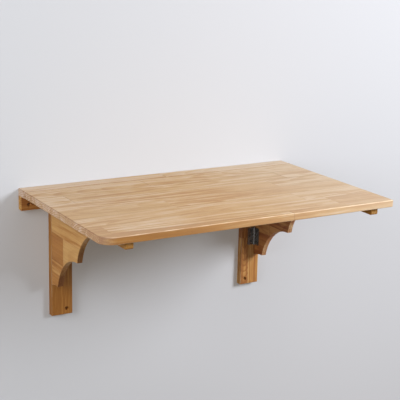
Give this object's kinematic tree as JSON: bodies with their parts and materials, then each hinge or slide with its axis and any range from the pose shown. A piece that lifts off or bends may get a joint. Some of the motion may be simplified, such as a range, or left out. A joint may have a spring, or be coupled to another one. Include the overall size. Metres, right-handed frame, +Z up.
{
  "type": "wall mounted drop leaf table",
  "caption": "Wooden wall table: a hinged leaf on a wall rail, held up by two scalloped brackets that swing in on wall posts so that the leaf can hang down.",
  "frame": {"origin": "on the wall plane, at the middle of the row of wall screw holes in the rail", "axes": "+X along the wall to the right as seen from the room, +Y into the wall, +Z up; the table stands out towards -Y"},
  "size_m": [0.8, 0.5, 0.35],
  "materials": {
    "table_wood": "satin lacquer",
    "bracket_wood": "satin lacquer",
    "dowel_wood": "raw",
    "hinge_metal": "black",
    "screw_metal": "black",
    "plain_screw": "zinc plated"
  },
  "bodies": {
    "wall_frame": {"wall_rail": "bracket_wood", "top_strip": "table_wood", "left_wall_post": "bracket_wood", "right_wall_post": "bracket_wood", "post_dowels": "dowel_wood", "strip_screws": "plain_screw", "strip_hinge_screws": "screw_metal", "left_leaf_hinge_fixed_plate": "hinge_metal", "left_leaf_hinge_pin": "hinge_metal", "middle_leaf_hinge_fixed_plate": "hinge_metal", "middle_leaf_hinge_pin": "hinge_metal", "right_leaf_hinge_fixed_plate": "hinge_metal", "right_leaf_hinge_pin": "hinge_metal", "left_post_hinge_screws": "screw_metal", "left_upper_bracket_hinge_fixed_plate": "hinge_metal", "left_upper_bracket_hinge_pin": "hinge_metal", "left_lower_bracket_hinge_fixed_plate": "hinge_metal", "left_lower_bracket_hinge_pin": "hinge_metal", "right_post_hinge_screws": "screw_metal", "right_upper_bracket_hinge_fixed_plate": "hinge_metal", "right_upper_bracket_hinge_pin": "hinge_metal", "right_lower_bracket_hinge_fixed_plate": "hinge_metal", "right_lower_bracket_hinge_pin": "hinge_metal"},
    "leaf": {"leaf_board": "table_wood", "left_batten": "bracket_wood", "right_batten": "bracket_wood", "batten_screws": "plain_screw", "leaf_hinge_screws": "screw_metal", "left_leaf_hinge_leaf_plate": "hinge_metal", "middle_leaf_hinge_leaf_plate": "hinge_metal", "right_leaf_hinge_leaf_plate": "hinge_metal"},
    "left_bracket": {"left_gusset": "bracket_wood", "left_gusset_hinge_screws": "screw_metal", "left_upper_bracket_hinge_gusset_plate": "hinge_metal", "left_lower_bracket_hinge_gusset_plate": "hinge_metal"},
    "right_bracket": {"right_gusset": "bracket_wood", "right_gusset_hinge_screws": "screw_metal", "right_upper_bracket_hinge_gusset_plate": "hinge_metal", "right_lower_bracket_hinge_gusset_plate": "hinge_metal"}
  },
  "joints": [
    {"name": "leaf_lift", "type": "hinge", "parent": "wall_frame", "child": "leaf", "pos_m": [0, -0.045, 0.0184], "axis": [-1, 0, 0], "range_deg": [0, 5]},
    {"name": "left_bracket_swing", "type": "hinge", "parent": "wall_frame", "child": "left_bracket", "pos_m": [-0.3014, -0.0216, -0.1], "axis": [0, 0, 1], "range_deg": [0, 90]},
    {"name": "right_bracket_swing", "type": "hinge", "parent": "wall_frame", "child": "right_bracket", "pos_m": [0.3014, -0.0216, -0.1], "axis": [0, 0, -1], "range_deg": [0, 90]}
  ]
}
